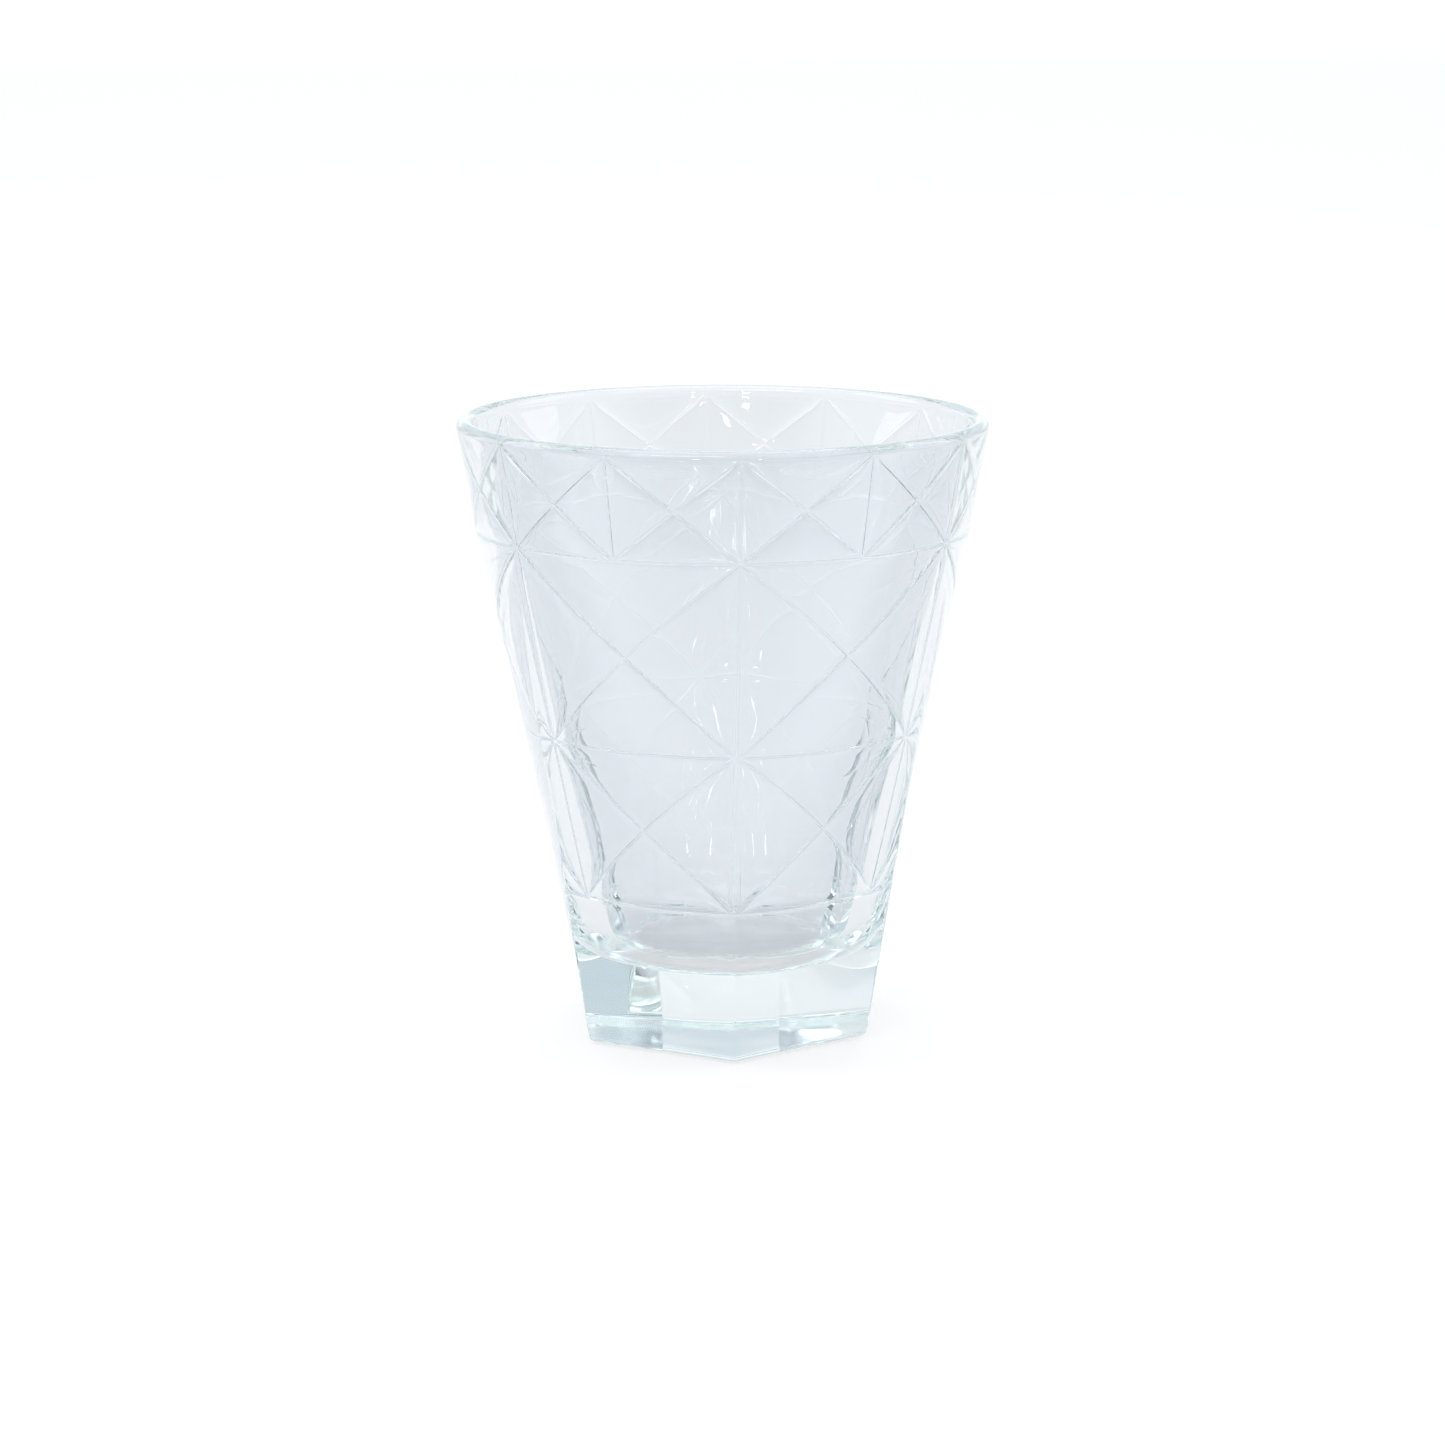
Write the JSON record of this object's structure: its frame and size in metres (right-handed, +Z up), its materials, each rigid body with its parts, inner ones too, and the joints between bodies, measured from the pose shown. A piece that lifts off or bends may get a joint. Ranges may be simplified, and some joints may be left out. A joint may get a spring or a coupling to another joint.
{
  "type": "whiskey tumbler",
  "caption": "Clear pressed-glass tumbler with a thick hexagonal foot, a flaring bowl that rounds off upwards and a relief of crossed panels inside.",
  "frame": {"origin": "centre of the flat underside, on the surface that the glass stands on", "axes": "+Z up along the axis of the glass, out of its mouth; -Y points through one corner of the hexagonal foot; +X to the right seen from that corner"},
  "size_m": [0.0918, 0.0918, 0.1079],
  "materials": {
    "clear_glass": "clear fire-polished soda-lime glass with a very faint cool tint"
  },
  "bodies": {
    "root": {"foot": "clear_glass", "bowl": "clear_glass", "rim": "clear_glass"}
  },
  "joints": []
}
